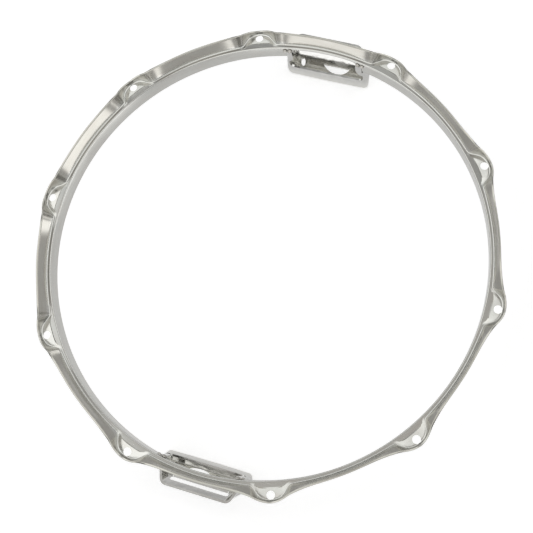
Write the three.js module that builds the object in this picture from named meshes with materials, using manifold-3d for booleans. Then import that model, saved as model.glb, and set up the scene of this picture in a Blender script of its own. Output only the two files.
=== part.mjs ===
// A 14 inch snare-side drum hoop for ten tension rods, as a three.js scene graph.
// The ring is one steel strip, rolled to three flanges, with pressed ears and two gates.
// A stamped guard straddles the rim over each gate and is welded to the wall by its two feet.
// Millimetres, +Z up toward the drum, hoop axis on Z. The hoop stands on the crowns of its guards.

import * as THREE from 'three';
import { mergeVertices } from 'three/addons/utils/BufferGeometryUtils.js';
import Module from 'manifold-3d';

const wasm = await Module();
wasm.setup();

// Counts
const rodHoleCount = 10;
const guardCount = 2;
const beadsPerFoot = 2;

// Ring section. Radii are from the hoop's axis and levels from the head seat,
// where a rise goes toward the drum and a drop goes toward the rim.
const ringSheet = 2.0;
const wallRadius = 180.4;
const wallDrop = 16.2;
const seatWidth = 3.2;
const collarRise = 12.85;
const collarFlare = 1.45;
const rimWidth = 6.8;
const rimReturn = 3.4;
const insideBendRadius = 0.5;
const seatEdgeRadius = 1.1;
const seatCornerRadius = 1.4;
const collarHeelRadius = 2.0;
const rimRollRadius = 3.0;
const rimEdgeRadius = 1.5;

// Ears, pressed out of the collar round each rod hole
const rodOffset = 10.6;
const rodHoleDiameter = 6.6;
const earTipMargin = 5.9;
const earLipRise = 2.2;
const earLipSheet = 1.6;
const earHeelRadius = 2.6;
const earCornerRadius = 1.8;
const earReachHalfWidth = 19.8;
const earLipHalfWidth = 17.0;
const earFloorHalfWidth = 13.5;
const earReachPower = 1.82;
const earLipPower = 1.75;
const earFloorPower = 6.0;
const earCoinOffset = 4.8;
const earCoinSlope = 0.8;
const earCoinDepth = 0.5;
const coinClearShare = 1.2;

// Gates, notched in the rim and wall
const gateHalfWidth = 28.5;
const gateFloorDrop = 2.6;
const gateCornerRadius = 4.0;

// Guards. Drops are from the head seat, heights from the crown, insets and offsets from the wall,
// and widths run along the rim.
const guardSheet = 1.6;
const crownDrop = 41.06;
const lipHeight = 11.46;
const lipEdgeInset = 4.7;
const lipCrownInset = 7.1;
const lipCrownHeight = 3.56;
const lipBendRadius = 3.7;
const lipBow = 0.4;
const skirtTopOffset = 5.0;
const skirtTopHeight = 4.56;
const skirtEdgeOffset = 17.8;
const skirtEdgeDrop = 8.5;
const shoulderRadius = 3.4;
const skirtShortDrop = 10.0;
const skirtFullHeight = 9.06;
const slotEndReach = 1.9;
const slotEndBend = 3.7;
const holeEndReach = 0.2;
const holeEndBend = 8.0;
const footWidth = 8.1;
const frontCornerRadius = 3.6;
const backCornerRadius = 6.0;
const frontCornerShare = 0.3;
const backCornerShare = 0.55;
const footEdgeDrop = 4.6;
const footHoldDrop = 17.0;
const windowHoldDrop = 13.0;
const windowSideMargin = 4.0;
const windowCornerRadius = 4.4;
const windowTurnClearance = 4.3;
const weldGap = 0.3;
const rimGap = 0.3;

// Slots and hole punched in each guard
const strapSlotSill = 6.2;
const strapSlotWidth = 7.5;
const strapSlotInset = 4.0;
const strapSlotCornerRadius = 1.8;
const shoulderSlotTip = 5.6;
const shoulderSlotEnd = 20.4;
const shoulderSlotWidth = 4.0;
const shoulderSlotOffset = 1.7;
const shoulderHoleDiameter = 4.2;
const shoulderHoleOffset = 4.6;
const shoulderHoleSide = 24.0;
const punchClearance = 5.8;

// Weld beads along each foot's edge
const beadLength = 3.6;
const beadRise = 2.2;
const beadDepth = 1.4;
const beadPitch = 4.1;
const beadSeatGap = 0.12;

// One overrun for every cutter
const overrun = 6.0;

const chrome = new THREE.MeshStandardMaterial({ color: 0xbdb9b0, metalness: 1.0, roughness: 0.22 });
const weldMetal = new THREE.MeshStandardMaterial({ color: 0xa39d92, metalness: 1.0, roughness: 0.42 });

const seatLevel = crownDrop;
const halfPitch = Math.PI / rodHoleCount;
const rodCircleRadius = wallRadius + rodOffset;
const earTipRadius = rodCircleRadius + earTipMargin;
const lipEdgeDrop = crownDrop - lipHeight;
const lipEdgeRadius = wallRadius - lipEdgeInset;
const lipCrownRadius = wallRadius - lipCrownInset;
const skirtTopRadius = wallRadius + skirtTopOffset;
const skirtEdgeRadius = wallRadius + skirtEdgeOffset;
const footHalfLength = gateHalfWidth + footWidth;
const guardEnds = {
  slot: { half: footHalfLength + slotEndReach, bend: slotEndBend },
  hole: { half: footHalfLength + holeEndReach, bend: holeEndBend },
};

function levelOf(drop) {
  return seatLevel - drop;
}

function mix(from, to, share) {
  return from + (to - from) * share;
}

function smoothShare(value, from, to) {
  const share = Math.min(1, Math.max(0, (value - from) / (to - from)));
  return share * share * (3 - 2 * share);
}

// Points of a bend tangent to both legs of a corner. A corner without a radius stays one point.
function bendPoints(before, corner, after) {
  if (!corner.radius) {
    return [new THREE.Vector2(corner.x, corner.y)];
  }
  const here = new THREE.Vector2(corner.x, corner.y);
  const back = new THREE.Vector2(before.x, before.y).sub(here).normalize();
  const ahead = new THREE.Vector2(after.x, after.y).sub(here).normalize();
  const halfAngle = Math.acos(THREE.MathUtils.clamp(back.dot(ahead), -1, 1)) / 2;
  const setback = corner.radius / Math.tan(halfAngle);
  const bisector = back.clone().add(ahead).normalize();
  const centre = bisector.multiplyScalar(corner.radius / Math.sin(halfAngle)).add(here);
  const first = back.clone().multiplyScalar(setback).add(here).sub(centre);
  const last = ahead.clone().multiplyScalar(setback).add(here).sub(centre);
  const sweep = Math.atan2(first.cross(last), first.dot(last));
  const points = [];
  for (let step = 0; step <= corner.steps; step += 1) {
    points.push(first.clone().rotateAround(new THREE.Vector2(), sweep * step / corner.steps).add(centre));
  }
  return points;
}

function roundedPath(corners) {
  return corners.flatMap((corner, index) => {
    const before = corners[(index + corners.length - 1) % corners.length];
    const after = corners[(index + 1) % corners.length];
    return bendPoints(before, corner, after);
  });
}

// A skin over loops of equally many points. Given caps, it closes the first and last loops with
// their triangles, and otherwise it joins the last loop to the first.
function skinLoops(loops, caps) {
  const size = loops[0].length;
  const indices = [];
  const bands = caps ? loops.length - 1 : loops.length;
  for (let band = 0; band < bands; band += 1) {
    const low = band * size;
    const high = ((band + 1) % loops.length) * size;
    for (let index = 0; index < size; index += 1) {
      const next = (index + 1) % size;
      indices.push(low + index, low + next, high + next);
      indices.push(low + index, high + next, high + index);
    }
  }
  if (caps) {
    const last = (loops.length - 1) * size;
    for (const [a, b, c] of caps.first) {
      indices.push(c, b, a);
    }
    for (const [a, b, c] of caps.last) {
      indices.push(last + a, last + b, last + c);
    }
  }
  const geometry = new THREE.BufferGeometry();
  const positions = loops.flat().flatMap((point) => [point.x, point.y, point.z]);
  geometry.setAttribute('position', new THREE.Float32BufferAttribute(positions, 3));
  geometry.setIndex(indices);
  return geometry;
}

function toSolid(geometry) {
  const bare = geometry.index ? geometry.clone() : geometry;
  bare.deleteAttribute('normal');
  bare.deleteAttribute('uv');
  const merged = mergeVertices(bare);
  const mesh = new wasm.Mesh({
    numProp: 3,
    vertProperties: new Float32Array(merged.attributes.position.array),
    triVerts: new Uint32Array(merged.index.array),
  });
  return new wasm.Manifold(mesh);
}

function toGeometry(solid) {
  const mesh = solid.getMesh();
  const geometry = new THREE.BufferGeometry();
  geometry.setAttribute('position', new THREE.BufferAttribute(mesh.vertProperties, 3));
  geometry.setIndex(new THREE.BufferAttribute(mesh.triVerts, 1));
  geometry.computeVertexNormals();
  return geometry;
}

// A cutter with a plan outline, standing between two drops
function planCutter(shape, upperDrop, lowerDrop, curveSegments) {
  const geometry = new THREE.ExtrudeGeometry(shape, {
    depth: lowerDrop - upperDrop,
    bevelEnabled: false,
    curveSegments,
  });
  geometry.translate(0, 0, levelOf(lowerDrop));
  return toSolid(geometry);
}

// A cutter with an outline seen along the radius, where x runs along the rim and y is the level
function radialCutter(shape, innerRadius, outerRadius, curveSegments) {
  const geometry = new THREE.ExtrudeGeometry(shape, {
    depth: outerRadius - innerRadius,
    bevelEnabled: false,
    curveSegments,
  });
  const alongRim = new THREE.Vector3(0, 1, 0);
  const upward = new THREE.Vector3(0, 0, 1);
  const outward = new THREE.Vector3(1, 0, 0);
  geometry.applyMatrix4(new THREE.Matrix4().makeBasis(alongRim, upward, outward));
  geometry.translate(innerRadius, 0, 0);
  return toSolid(geometry);
}

function roundedRectangle(halfWidth, lowLevel, highLevel, radius) {
  const shape = new THREE.Shape();
  shape.moveTo(-halfWidth + radius, lowLevel);
  shape.lineTo(halfWidth - radius, lowLevel);
  shape.absarc(halfWidth - radius, lowLevel + radius, radius, -Math.PI / 2, 0, false);
  shape.lineTo(halfWidth, highLevel - radius);
  shape.absarc(halfWidth - radius, highLevel - radius, radius, 0, Math.PI / 2, false);
  shape.lineTo(-halfWidth + radius, highLevel);
  shape.absarc(-halfWidth + radius, highLevel - radius, radius, Math.PI / 2, Math.PI, false);
  shape.lineTo(-halfWidth, lowLevel + radius);
  shape.absarc(-halfWidth + radius, lowLevel + radius, radius, Math.PI, Math.PI * 1.5, false);
  return shape;
}

// The ring's sheet section at a distance along the rod circle from the nearest rod hole.
// Between ears the outer flange is a collar that stands up. At an ear it lies flat as a floor
// with a short lip, coined a little below the seat. The reach, the lip and the floor each fade
// at their own rate.
function ringSection(arc) {
  const reachShare = Math.exp(-((arc / earReachHalfWidth) ** earReachPower));
  const lipShare = Math.exp(-((arc / earLipHalfWidth) ** earLipPower));
  const floorShare = Math.exp(-((arc / earFloorHalfWidth) ** earFloorPower));

  const seatOuter = wallRadius + seatWidth;
  const collarTip = seatOuter + collarFlare + ringSheet;
  const lipSheet = mix(ringSheet, earLipSheet, floorShare);
  const tipRadius = mix(collarTip, earTipRadius, reachShare);
  const tipRise = mix(collarRise, earLipRise, lipShare);
  const heelRadius = mix(collarHeelRadius, earHeelRadius, floorShare);
  const innerRadius = mix(seatCornerRadius, earCornerRadius, floorShare);
  const cornerRadius = mix(seatOuter, tipRadius - earLipSheet, floorShare);
  const floorLevel = seatLevel - earCoinDepth * floorShare;
  const coinStart = wallRadius + mix(seatEdgeRadius * coinClearShare, earCoinOffset, floorShare);
  const coinEnd = coinStart + mix(earCoinSlope / 2, earCoinSlope, floorShare);

  const innerTip = new THREE.Vector2(tipRadius - lipSheet, seatLevel + tipRise);
  const innerCorner = new THREE.Vector2(cornerRadius, floorLevel);
  const lean = innerTip.clone().sub(innerCorner).normalize();
  const outward = new THREE.Vector2(lean.y, -lean.x);
  const outerTip = innerTip.clone().addScaledVector(outward, lipSheet);
  const heelLevel = seatLevel - ringSheet;
  const heelTravel = (outerTip.y - heelLevel) / lean.y;
  const outerHeel = outerTip.clone().addScaledVector(lean, -heelTravel);

  const rimLevel = levelOf(wallDrop);
  const rimEdge = wallRadius + rimWidth;
  const returnLevel = rimLevel + rimReturn;
  return roundedPath([
    { x: innerTip.x, y: innerTip.y },
    { x: innerCorner.x, y: innerCorner.y, radius: innerRadius, steps: 2 },
    { x: coinEnd, y: floorLevel },
    { x: coinStart, y: seatLevel },
    { x: wallRadius, y: seatLevel, radius: seatEdgeRadius, steps: 2 },
    { x: wallRadius, y: rimLevel, radius: rimRollRadius, steps: 4 },
    { x: rimEdge, y: rimLevel, radius: rimEdgeRadius, steps: 2 },
    { x: rimEdge, y: returnLevel },
    { x: rimEdge - ringSheet, y: returnLevel },
    { x: rimEdge - ringSheet, y: rimLevel + ringSheet },
    { x: wallRadius + ringSheet, y: rimLevel + ringSheet, radius: rimRollRadius - ringSheet, steps: 2 },
    { x: wallRadius + ringSheet, y: heelLevel, radius: insideBendRadius, steps: 1 },
    { x: outerHeel.x, y: outerHeel.y, radius: heelRadius, steps: 3 },
    { x: outerTip.x, y: outerTip.y },
  ]).reverse();
}

// Stations round the ring, in shares of half the pitch from each rod hole. They crowd where an
// ear's floor ends.
function ringStations() {
  const shares = [0.117, 0.175, 0.217, 0.258, 0.333, 0.5, 0.733];
  const bothSides = [-1, ...shares.toReversed().map((share) => -share), 0, ...shares];
  const stations = [];
  for (let ear = 0; ear < rodHoleCount; ear += 1) {
    const earAngle = halfPitch * (2 * ear + 1);
    for (const share of bothSides) {
      stations.push({ angle: earAngle + halfPitch * share, arc: Math.abs(share) * halfPitch * rodCircleRadius });
    }
  }
  return stations;
}

function gateCutter() {
  const outline = roundedRectangle(
    gateHalfWidth,
    levelOf(wallDrop + gateCornerRadius + overrun),
    levelOf(gateFloorDrop),
    gateCornerRadius,
  );
  return radialCutter(outline, wallRadius - overrun, wallRadius + rimWidth + overrun, 4);
}

function rodHoleCutter(index) {
  const depth = ringSheet + overrun;
  const cylinder = new THREE.CylinderGeometry(rodHoleDiameter / 2, rodHoleDiameter / 2, depth, 24);
  cylinder.rotateX(Math.PI / 2);
  const angle = halfPitch * (2 * index + 1);
  cylinder.translate(rodCircleRadius * Math.cos(angle), rodCircleRadius * Math.sin(angle), seatLevel - ringSheet / 2);
  return toSolid(cylinder);
}

function makeRing() {
  const loops = ringStations().map(({ angle, arc }) => ringSection(arc).map(
    (point) => new THREE.Vector3(point.x * Math.cos(angle), point.x * Math.sin(angle), point.y),
  ));
  let ring = toSolid(skinLoops(loops));
  for (let index = 0; index < rodHoleCount; index += 1) {
    ring = ring.subtract(rodHoleCutter(index));
  }
  for (let index = 0; index < guardCount; index += 1) {
    const degrees = 360 * index / guardCount;
    ring = ring.subtract(gateCutter().rotate([0, 0, degrees]));
  }
  return ring;
}

// How far a leaning wall stands out at a drop, with a bend of the given radius into the crown.
// The wall is given at one drop, and its lean is the gain per unit of drop.
function bentWall(drop, wallAt, wallAtDrop, lean, crown, radius) {
  const stretch = Math.hypot(1, lean);
  const centreDrop = crown - radius;
  const centre = wallAt + lean * (centreDrop - wallAtDrop) - radius * stretch;
  const tangentDrop = centreDrop - radius * lean / stretch;
  if (drop <= tangentDrop) {
    return wallAt + lean * (drop - wallAtDrop);
  }
  return centre + Math.sqrt(Math.max(0, radius ** 2 - (drop - centreDrop) ** 2));
}

// Plan outline of the guard at a drop. An inset gives the inner face of its sheet.
function guardOutline(drop, inset) {
  const crown = crownDrop - inset;
  const skirtTravel = crownDrop - skirtTopHeight - skirtEdgeDrop;
  const skirtLean = (skirtTopRadius - skirtEdgeRadius) / skirtTravel;
  const skirtInset = inset * Math.hypot(1, skirtLean);
  const back = bentWall(
    drop, skirtEdgeRadius - skirtInset, skirtEdgeDrop, skirtLean, crown, shoulderRadius - inset,
  );
  const lipLean = (lipEdgeRadius - lipCrownRadius) / (lipHeight - lipCrownHeight);
  const lipInset = inset * Math.hypot(1, lipLean);
  const lipDrop = Math.max(drop, lipEdgeDrop);
  const lip = -bentWall(
    lipDrop, -lipEdgeRadius - lipInset, lipEdgeDrop, lipLean, crown, lipBendRadius - inset,
  );
  const slotEnd = endHalf(drop, guardEnds.slot, inset);
  const holeEnd = endHalf(drop, guardEnds.hole, inset);

  const footShare = 1 - smoothShare(drop, footHoldDrop, lipEdgeDrop);
  const footFace = wallRadius - weldGap - guardSheet + inset;
  const bowed = (half) => lip + lipBow * (half / guardEnds.slot.half) ** 2;
  const front = (half) => mix(bowed(half), Math.sqrt(footFace ** 2 - half ** 2), footShare);
  const frontShares = [0.84, 0.7, 0.4];
  const frontCorner = Math.min(frontCornerRadius - inset, frontCornerShare * (back - lip));
  const backCorner = Math.min(backCornerRadius - inset, backCornerShare * (back - lip));
  const along = (half, share) => ({ x: front(half * share), y: half * share });

  return roundedPath([
    { x: back, y: -slotEnd.back, radius: backCorner, steps: 4 },
    { x: back, y: holeEnd.back, radius: backCorner, steps: 4 },
    { ...along(holeEnd.front, 1), radius: frontCorner, steps: 3 },
    ...frontShares.map((share) => along(holeEnd.front, share)),
    along(0, 0),
    ...frontShares.toReversed().map((share) => along(-slotEnd.front, share)),
    { ...along(-slotEnd.front, 1), radius: frontCorner, steps: 3 },
  ]);
}

// Half-lengths of one guard end at a drop, on its front by the wall and on its back by the skirt
function endHalf(drop, end, inset) {
  const level = end.half - inset;
  const tuck = level - bentWall(drop, level, lipEdgeDrop, 0, crownDrop - inset, end.bend - inset);
  const full = mix(footHalfLength, end.half, smoothShare(drop, footHoldDrop, lipEdgeDrop));
  const short = mix(gateHalfWidth, full, smoothShare(drop, skirtShortDrop, crownDrop - skirtFullHeight));
  return { front: full - inset - tuck, back: short - inset - tuck };
}

// A solid through the guard's plan outlines, from the crown up to the drop of its open edge
function guardBody(edgeDrop, inset) {
  const crown = crownDrop - inset;
  const bend = guardEnds.hole.bend - inset;
  const bendSteps = 7;
  const drops = [];
  for (let step = 0; step <= bendSteps; step += 1) {
    drops.push(crown - bend * (1 - Math.cos(Math.PI / 2 * step / bendSteps)));
  }
  drops.push(crownDrop - skirtFullHeight, lipEdgeDrop);
  const blendSteps = 3;
  for (let step = 1; step <= blendSteps; step += 1) {
    drops.push(mix(lipEdgeDrop, footHoldDrop, step / blendSteps));
  }
  drops.push(skirtShortDrop, edgeDrop);
  drops.sort((one, other) => other - one);
  const outlines = drops.map((drop) => guardOutline(drop, inset));
  const loops = outlines.map((outline, index) => outline.map(
    (point) => new THREE.Vector3(point.x, point.y, levelOf(drops[index])),
  ));
  const caps = {
    first: THREE.ShapeUtils.triangulateShape(outlines[0], []),
    last: THREE.ShapeUtils.triangulateShape(outlines[outlines.length - 1], []),
  };
  return toSolid(skinLoops(loops, caps));
}

// Room for the ring under each end wall of the guard, in plan
function rimNotchShape(side) {
  const outer = wallRadius + rimWidth + rimGap;
  const faceRadius = wallRadius - weldGap;
  const endInner = footHalfLength - guardSheet;
  const footEnd = Math.sqrt(faceRadius ** 2 - footHalfLength ** 2);
  const inside = faceRadius + weldGap / 2;
  const low = gateHalfWidth - overrun;
  const high = guardEnds.slot.half + overrun;
  const middle = (low + high) / 2;
  const onCircle = (radius, half) => new THREE.Vector2(Math.sqrt(radius ** 2 - half ** 2), side * half);
  return new THREE.Shape([
    new THREE.Vector2(footEnd, side * high),
    new THREE.Vector2(footEnd, side * endInner),
    onCircle(inside, endInner - frontCornerRadius / 2),
    onCircle(inside, low),
    onCircle(outer, low),
    onCircle(outer, middle),
    onCircle(outer, high),
  ]);
}

// The open front of the guard, seen along the radius. Its sides widen below the feet.
function windowShape() {
  const top = levelOf(footEdgeDrop - overrun);
  const hold = levelOf(windowHoldDrop);
  const low = levelOf(lipEdgeDrop);
  const slotSide = -(guardEnds.slot.half - windowSideMargin);
  const holeSide = guardEnds.hole.half - windowSideMargin;
  const turnDrop = wallDrop + rimGap + windowTurnClearance;
  const turn = levelOf(turnDrop);
  const corner = Math.min(windowCornerRadius, (lipEdgeDrop - turnDrop) / 2);
  const shape = new THREE.Shape();
  shape.moveTo(gateHalfWidth, top);
  shape.lineTo(-gateHalfWidth, top);
  shape.lineTo(-gateHalfWidth, hold);
  shape.quadraticCurveTo(-gateHalfWidth, mix(hold, turn, 1 / 2), slotSide, turn);
  shape.lineTo(slotSide, low + corner);
  shape.absarc(slotSide + corner, low + corner, corner, Math.PI, Math.PI * 1.5, false);
  shape.lineTo(holeSide - corner, low);
  shape.absarc(holeSide - corner, low + corner, corner, -Math.PI / 2, 0, false);
  shape.lineTo(holeSide, turn);
  shape.quadraticCurveTo(gateHalfWidth, mix(hold, turn, 1 / 2), gateHalfWidth, hold);
  return shape;
}

function makeGuard() {
  let guard = guardBody(footEdgeDrop, 0).subtract(guardBody(footEdgeDrop - overrun, guardSheet));

  const rimTop = wallDrop + rimGap;
  for (const side of [-1, 1]) {
    guard = guard.subtract(planCutter(rimNotchShape(side), footEdgeDrop - overrun, rimTop, 1));
  }

  const trim = new THREE.BoxGeometry(
    skirtEdgeRadius - wallRadius + overrun,
    2 * (guardEnds.slot.half + overrun),
    skirtEdgeDrop - footEdgeDrop + overrun,
  );
  trim.translate(
    (skirtEdgeRadius + wallRadius + overrun) / 2 + rimGap,
    0,
    levelOf((skirtEdgeDrop + footEdgeDrop - overrun) / 2),
  );
  guard = guard.subtract(toSolid(trim));

  guard = guard.subtract(radialCutter(
    windowShape(), lipCrownRadius - overrun, wallRadius + guardSheet, 4,
  ));

  const strapSlotTop = levelOf(skirtEdgeDrop + strapSlotSill);
  const strapSlot = roundedRectangle(
    gateHalfWidth - strapSlotInset, strapSlotTop - strapSlotWidth, strapSlotTop, strapSlotCornerRadius,
  );
  guard = guard.subtract(radialCutter(
    strapSlot, skirtTopRadius + guardSheet, skirtEdgeRadius + overrun, 2,
  ));

  const punchDrop = skirtEdgeDrop + strapSlotSill + strapSlotWidth + punchClearance;
  const punchHeight = crownDrop - punchDrop;
  guard = guard.subtract(planCutter(shoulderSlotShape(), punchDrop, crownDrop + overrun, 6));

  const hole = new THREE.CylinderGeometry(
    shoulderHoleDiameter / 2, shoulderHoleDiameter / 2, punchHeight + overrun, 16,
  );
  hole.rotateX(Math.PI / 2);
  hole.translate(
    wallRadius + shoulderHoleOffset,
    shoulderHoleSide,
    levelOf(punchDrop + (punchHeight + overrun) / 2),
  );
  return guard.subtract(toSolid(hole));
}

// A bow-shaped slot in plan: straight outside and bulging toward the crown
function shoulderSlotShape() {
  const inner = wallRadius + shoulderSlotOffset;
  const outer = inner + shoulderSlotWidth;
  const middle = (shoulderSlotTip - shoulderSlotEnd) / 2;
  const fullness = 0.4;
  const shape = new THREE.Shape();
  shape.moveTo(outer, shoulderSlotTip);
  shape.quadraticCurveTo(inner, mix(shoulderSlotTip, middle, fullness), inner, middle);
  shape.quadraticCurveTo(inner, mix(-shoulderSlotEnd, middle, fullness), outer, -shoulderSlotEnd);
  return shape;
}

// A bead in the corner between the ring's wall and the edge of a guard's foot
function makeBead(half) {
  const wallFace = wallRadius - weldGap / 2 - beadSeatGap;
  const reach = Math.asin(half / wallFace);
  const centre = new THREE.Vector3(wallFace * Math.cos(reach), half, levelOf(footEdgeDrop) + beadSeatGap);
  const blob = new THREE.SphereGeometry(1, 10, 8);
  blob.scale(beadDepth, beadLength / 2, beadRise);
  const room = new THREE.BoxGeometry(beadDepth + overrun, beadLength + overrun, beadRise + overrun);
  room.translate(-(beadDepth + overrun) / 2, 0, (beadRise + overrun) / 2);
  const bead = toGeometry(toSolid(blob).intersect(toSolid(room)));
  bead.rotateZ(reach);
  bead.translate(centre.x, centre.y, centre.z);
  return bead;
}

function named(name, geometry, material) {
  const mesh = new THREE.Mesh(geometry, material);
  mesh.name = name;
  return mesh;
}

const hoop = new THREE.Group();
hoop.add(named('hoop_ring', toGeometry(makeRing()), chrome));

const guardNames = ['snare_guard_a', 'snare_guard_b'];
const footNames = ['left', 'right'];
const footMiddle = (gateHalfWidth + footHalfLength) / 2;
const guardGeometry = toGeometry(makeGuard());
guardNames.forEach((guardName, index) => {
  const place = new THREE.Group();
  place.rotation.z = 2 * Math.PI * index / guardCount;
  place.add(named(guardName, guardGeometry, chrome));
  footNames.forEach((footName, foot) => {
    const side = foot ? -1 : 1;
    for (let count = 0; count < beadsPerFoot; count += 1) {
      const half = side * footMiddle + beadPitch * (count - (beadsPerFoot - 1) / 2);
      const beadName = `weld_${guardName.slice(-1)}_${footName}_${count + 1}`;
      place.add(named(beadName, makeBead(half), weldMetal));
    }
  });
  hoop.add(place);
});

export default hoop;
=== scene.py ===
import math

import bmesh
import bpy
from mathutils import Matrix, Vector


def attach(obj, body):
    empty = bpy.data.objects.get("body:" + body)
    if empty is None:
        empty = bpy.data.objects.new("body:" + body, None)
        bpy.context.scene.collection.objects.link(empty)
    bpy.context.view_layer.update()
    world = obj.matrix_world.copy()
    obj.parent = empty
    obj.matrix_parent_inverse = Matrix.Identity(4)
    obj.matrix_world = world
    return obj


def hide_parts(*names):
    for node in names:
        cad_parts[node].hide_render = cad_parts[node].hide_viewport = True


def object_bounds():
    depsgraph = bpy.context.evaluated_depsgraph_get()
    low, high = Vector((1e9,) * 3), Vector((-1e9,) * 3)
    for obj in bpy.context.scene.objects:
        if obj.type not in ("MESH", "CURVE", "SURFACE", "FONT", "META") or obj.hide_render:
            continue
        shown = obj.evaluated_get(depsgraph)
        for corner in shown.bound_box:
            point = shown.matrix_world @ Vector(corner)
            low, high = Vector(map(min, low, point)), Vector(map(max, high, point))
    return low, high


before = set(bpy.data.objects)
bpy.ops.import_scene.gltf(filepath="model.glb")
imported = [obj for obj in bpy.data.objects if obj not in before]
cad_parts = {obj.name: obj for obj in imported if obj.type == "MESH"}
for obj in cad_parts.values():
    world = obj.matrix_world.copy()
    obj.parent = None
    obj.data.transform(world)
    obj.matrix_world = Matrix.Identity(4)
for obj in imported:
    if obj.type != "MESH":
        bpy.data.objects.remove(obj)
cadLow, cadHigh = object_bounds()
print("frame loaded:", len(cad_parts), "nodes")

mm = 0.001  # every size below is in millimetres, every mesh in metres

# how many straight steps stand for a round corner or a curve
arcSteps = {
    "strip": 5,
    "corner": 6,
    "roll": 9,
    "heel": 7,
    "rodHoleEdge": 4,
    "rodHole": 48,
    "punch": 8,
    "guardFront": 8,
    "guardBack": 10,
    "guardCrown": 16,
    "curve": 10,
    "smallHole": 32,
}

meshFinish = {
    "mergeDistance": 0.02,
    "bevelDegrees": 50,
    "bevelSegments": 2,
    "normalWeight": 60,
}

ring = {
    "rodHoles": 10,
    "sheet": 2.0,
    "wallRadius": 180.4,
    "wallDrop": 16.2,
    "seatWidth": 3.2,
    "collarRise": 12.85,
    "collarFlare": 1.45,
    "rimWidth": 6.8,
    "rimReturn": 3.4,
    "insideBend": 0.5,
    "seatEdge": 1.1,
    "coinClearShare": 1.2,
    "seatCorner": 1.4,
    "collarHeel": 2.0,
    "rimRoll": 3.0,
    "rimEdge": 1.5,
    "stripEdge": 0.55,  # rounding of the strip's cut edges
    "stationsPerHalf": 48,
    "crowding": 1.3,  # the sections stand closer together near a rod hole
    "edge": 0.25,  # rounding of the gates' edges
    "creaseDegrees": 20,
}

ear = {
    "rodOffset": 10.6,  # from the wall's inner face to the rod circle
    "holeDiameter": 6.6,
    "holeEdge": 0.4,
    "tipMargin": 5.9,
    "lipRise": 2.2,
    "lipSheet": 1.6,
    "heel": 2.6,
    "corner": 1.8,
    "reach": (19.8, 1.82),  # half width along the rod circle, and how sharply it ends
    "lip": (17.0, 1.75),
    "floor": (13.5, 6.0),
    "coinOffset": 4.8,  # the floor is coined a little below the seat, beyond a short slope
    "coinSlope": 0.8,
    "coinDepth": 0.5,
    "floorFall": 1.4,  # the floor falls this much from the coined line to the lip
}

gate = {
    "halfWidth": 28.5,
    "floorDrop": 2.6,
    "corner": 4.0,
}

guard = {
    "sheet": 1.6,
    "crownDrop": 41.06,
    "lipHeight": 11.46,
    "lipEdgeInset": 4.7,
    "lipCrownInset": 7.1,
    "lipCrownHeight": 3.56,
    "lipBend": 3.7,
    "lipBow": 0.4,
    "skirtTopOffset": 5.0,
    "skirtTopHeight": 4.56,
    "skirtEdgeOffset": 17.8,
    "skirtEdgeDrop": 8.5,
    "shoulder": 3.4,
    "skirtShortDrop": 10.0,
    "skirtFullHeight": 9.06,
    "slotEnd": (1.9, 3.7),  # reach past the foot, and bend into the crown
    "holeEnd": (0.2, 8.0),
    "footWidth": 8.1,
    "frontCorner": 3.6,
    "backCorner": 6.0,
    "frontCornerShare": 0.3,
    "backCornerShare": 0.55,
    "footEdgeDrop": 4.6,
    "footHoldDrop": 17.0,
    "windowHoldDrop": 13.0,
    "windowSideMargin": 4.0,
    "windowCorner": 4.4,
    "weldGap": 0.3,
    "rimGap": 0.3,
    "edge": 0.28,  # rounding of punched edges
    "creaseDegrees": 32,
    "frontParts": 12,  # parts of the outline in plan
    "backParts": 8,
    "lowParts": 2,  # parts of the height
    "sideParts": 10,
    "footParts": 4,
}

punches = {
    "strapSill": 6.2,
    "strapWidth": 7.5,
    "strapInset": 4.0,
    "strapCorner": 1.8,
    "bowTip": 5.6,
    "bowEnd": 20.4,
    "bowWidth": 4.0,
    "bowOffset": 1.7,
    "bowFullness": 0.4,
    "holeDiameter": 4.2,
    "holeOffset": 4.6,
    "holeSide": 24.0,
    "height": 13.06,
}

bead = {
    "length": 3.6,
    "rise": 2.2,
    "depth": 1.4,
    "pitch": 4.1,
    "seatGap": 0.12,
    "perFoot": 2,
    "ripples": 5,
    "rippleShare": 0.06,
    "stations": 36,
    "arcParts": 12,
}

overrun = 6.0
seatLevel = cadHigh.z / mm - ring["collarRise"]
halfPitch = math.pi / ring["rodHoles"]
rodCircle = ring["wallRadius"] + ear["rodOffset"]
earTip = rodCircle + ear["tipMargin"]
lipEdgeDrop = guard["crownDrop"] - guard["lipHeight"]
footHalfLength = gate["halfWidth"] + guard["footWidth"]


def levelOf(drop):
    return seatLevel - drop


def mix(start, end, share):
    return start + (end - start) * share


def smoothShare(value, start, end):
    share = min(1, max(0, (value - start) / (end - start)))
    return share * share * (3 - 2 * share)


def fade(arc, widthAndPower):
    width, power = widthAndPower
    return math.exp(-((arc / width) ** power))


# values at the end of each of several equal parts of a stretch
def spread(start, end, parts):
    return [mix(start, end, part / parts) for part in range(1, parts + 1)]


def bend(x, y, radius=0, steps=1):
    return {"at": Vector((x, y)), "radius": radius, "steps": steps}


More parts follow.
